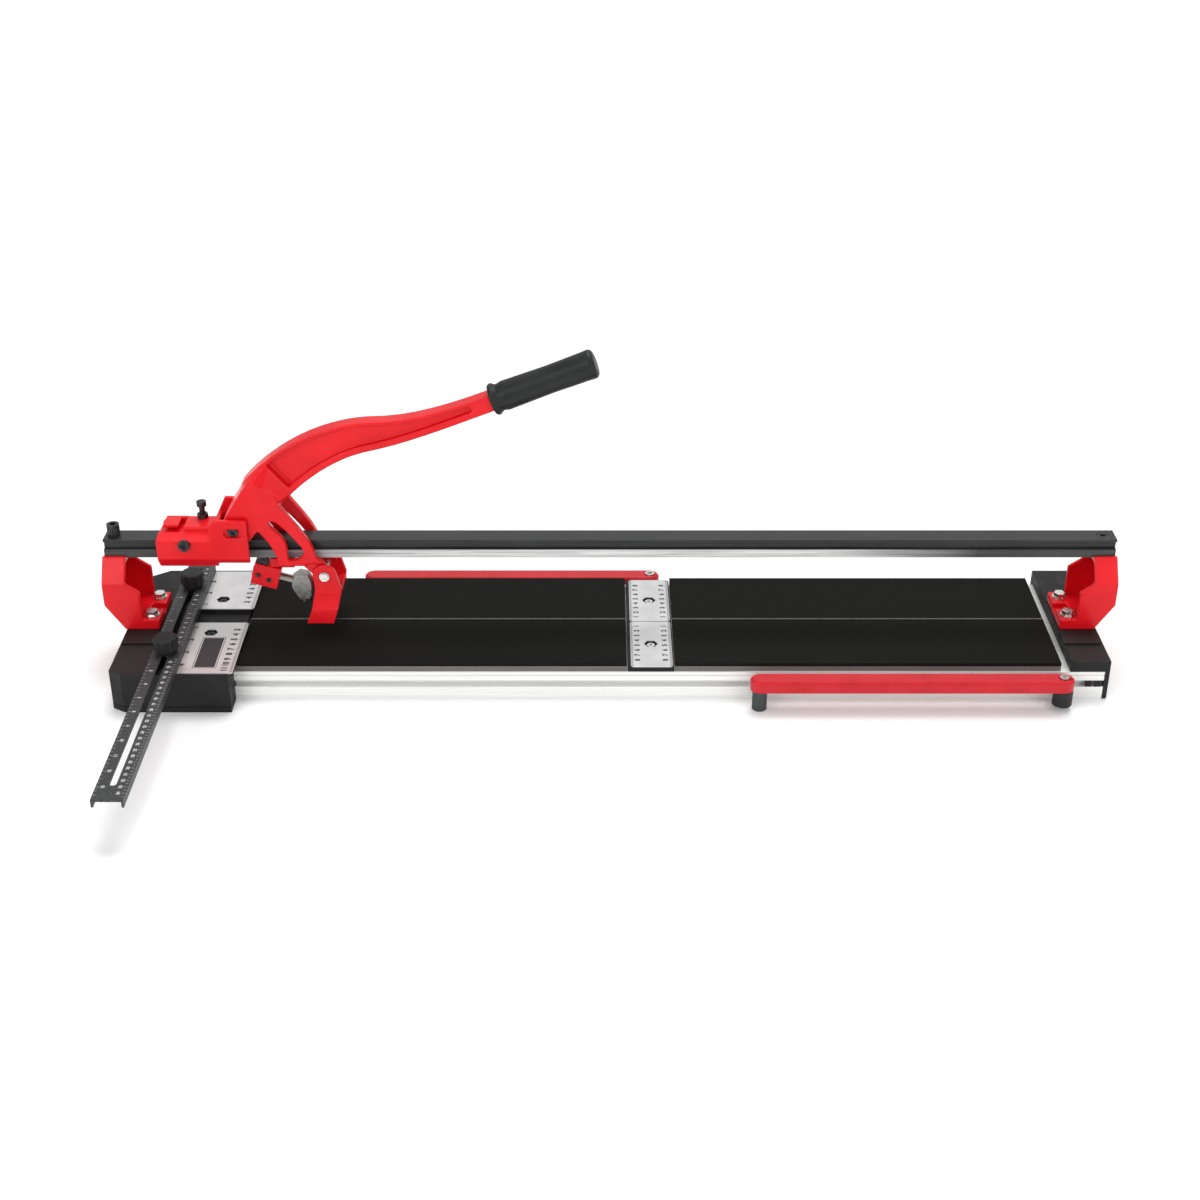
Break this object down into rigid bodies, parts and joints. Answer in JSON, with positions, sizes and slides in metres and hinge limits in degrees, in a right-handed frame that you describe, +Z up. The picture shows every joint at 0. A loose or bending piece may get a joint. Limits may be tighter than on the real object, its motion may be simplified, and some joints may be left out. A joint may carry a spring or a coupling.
{
  "type": "manual tile cutter",
  "caption": "Manual tile cutter: padded aluminium bed, overhead guide rail, sliding carriage with lever handle, scoring wheel and breaker foot, fence rule and swing-out supports.",
  "frame": {"origin": "on the underside of the aluminium base, below the middle of the guide rail's length and width", "axes": "+X along the rail towards the right end cap, +Y to the back, +Z up from the bench"},
  "size_m": [1.045, 0.473, 0.342],
  "materials": {
    "base_aluminium": "satin",
    "ridge_steel": "brushed",
    "board": "matte",
    "pad_rubber": "matte",
    "block_plastic": "moulded",
    "scale_plate": "satin",
    "bolt_steel": "zinc plated",
    "red_casting": "gloss powder coat",
    "rail_paint": "satin black",
    "black_oxide": "black oxide",
    "fence_paint": "satin black",
    "knob_plastic": "moulded",
    "red_sheet": "gloss",
    "foot_rubber": "matte",
    "head_steel": "machined",
    "grip_rubber": "satin",
    "wheel_steel": "ground"
  },
  "bodies": {
    "base": {"base_extrusion": "base_aluminium", "breaking_ridge_left": "ridge_steel", "breaking_ridge_right": "ridge_steel", "board_front_left": "board", "board_rear_left": "board", "board_front_right": "board", "board_rear_right": "board", "pad_front_left": "pad_rubber", "pad_rear_left": "pad_rubber", "pad_front_right": "pad_rubber", "pad_rear_right": "pad_rubber", "center_scale_block": "block_plastic", "center_scale_front": "scale_plate", "center_scale_rear": "scale_plate", "center_scale_bolts": "bolt_steel", "left_end_block": "block_plastic", "left_scale_front": "scale_plate", "left_scale_rear": "scale_plate", "left_scale_bolts": "bolt_steel", "right_end_cap": "block_plastic", "left_rail_bracket": "red_casting", "right_rail_bracket": "red_casting", "left_bracket_bolts": "bolt_steel", "right_bracket_bolts": "bolt_steel", "rail": "rail_paint", "rail_stop_screw": "black_oxide", "rail_end_screw": "black_oxide", "slot_plugs": "block_plastic", "fence_studs": "bolt_steel", "front_arm_post": "knob_plastic", "rear_arm_post": "knob_plastic", "front_pivot_screw": "bolt_steel", "rear_pivot_screw": "bolt_steel"},
    "fence": {"fence_rule": "fence_paint"},
    "knob_front": {"fence_knob_front": "knob_plastic"},
    "knob_rear": {"fence_knob_rear": "knob_plastic"},
    "front_arm": {"front_support_arm": "red_sheet", "front_arm_foot": "foot_rubber"},
    "rear_arm": {"rear_support_arm": "red_sheet", "rear_arm_foot": "foot_rubber"},
    "slider": {"slider_body": "red_casting", "slider_side_screws": "black_oxide", "handle_stop_bolt": "black_oxide", "handle_stop_nut": "black_oxide", "guide_roller_pins": "black_oxide", "handle_pivot_pin": "black_oxide"},
    "roller_left": {"guide_roller_left": "head_steel"},
    "roller_right": {"guide_roller_right": "head_steel"},
    "handle": {"handle": "red_casting", "handle_grip": "grip_rubber", "wheel_holder_block": "red_casting", "holder_set_screws": "black_oxide", "wheel_holder_arm": "head_steel", "wheel_axle": "bolt_steel", "keeper_roller_pin": "black_oxide", "foot_pivot_bolt": "bolt_steel"},
    "wheel": {"cutting_wheel": "wheel_steel"},
    "keeper_front": {"keeper_roller_front": "black_oxide"},
    "keeper_rear": {"keeper_roller_rear": "black_oxide"},
    "breaker": {"breaker_foot": "red_casting"}
  },
  "joints": [
    {"name": "slider_travel", "type": "slide", "parent": "base", "child": "slider", "axis": [1, 0, 0], "range_m": [-0.03, 0.74]},
    {"name": "handle_pivot", "type": "hinge", "parent": "slider", "child": "handle", "pos_m": [-0.383, 0, 0.155], "axis": [0, 1, 0], "range_deg": [0, 9]},
    {"name": "cutting_wheel_spin", "type": "hinge", "parent": "handle", "child": "wheel", "pos_m": [-0.319, 0, 0.068], "axis": [0, 1, 0], "continuous": true},
    {"name": "keeper_roller_front_spin", "type": "hinge", "parent": "handle", "child": "keeper_front", "pos_m": [-0.3585, 0, 0.1135], "axis": [0, 1, 0], "continuous": true},
    {"name": "keeper_roller_rear_spin", "type": "hinge", "parent": "handle", "child": "keeper_rear", "pos_m": [-0.3585, 0, 0.1135], "axis": [0, 1, 0], "continuous": true},
    {"name": "breaker_foot_pivot", "type": "hinge", "parent": "handle", "child": "breaker", "pos_m": [-0.294, 0, 0.1035], "axis": [0, 1, 0], "range_deg": [-45, 4]},
    {"name": "guide_roller_left_spin", "type": "hinge", "parent": "slider", "child": "roller_left", "pos_m": [-0.449, 0, 0.1433], "axis": [0, 1, 0], "continuous": true},
    {"name": "guide_roller_right_spin", "type": "hinge", "parent": "slider", "child": "roller_right", "pos_m": [-0.419, 0, 0.1433], "axis": [0, 1, 0], "continuous": true},
    {"name": "fence_slide", "type": "slide", "parent": "base", "child": "fence", "axis": [0, 1, 0], "range_m": [-0.035, 0.225]},
    {"name": "fence_knob_front_turn", "type": "hinge", "parent": "base", "child": "knob_front", "pos_m": [-0.448, -0.09, 0.062], "axis": [0, 0, 1], "range_deg": [0, 360]},
    {"name": "fence_knob_rear_turn", "type": "hinge", "parent": "base", "child": "knob_rear", "pos_m": [-0.448, 0.05, 0.062], "axis": [0, 0, 1], "range_deg": [0, 360]},
    {"name": "front_arm_swing", "type": "hinge", "parent": "base", "child": "front_arm", "pos_m": [0.457, -0.112, 0.03], "axis": [0, 0, 1], "range_deg": [0, 90]},
    {"name": "rear_arm_swing", "type": "hinge", "parent": "base", "child": "rear_arm", "pos_m": [0.045, 0.112, 0.03], "axis": [0, 0, 1], "range_deg": [-90, 0]}
  ],
  "couplings": [
    {"joint": "guide_roller_left_spin", "follows": "slider_travel", "rad_per_m": 333.33},
    {"joint": "guide_roller_right_spin", "follows": "slider_travel", "rad_per_m": 333.33}
  ]
}
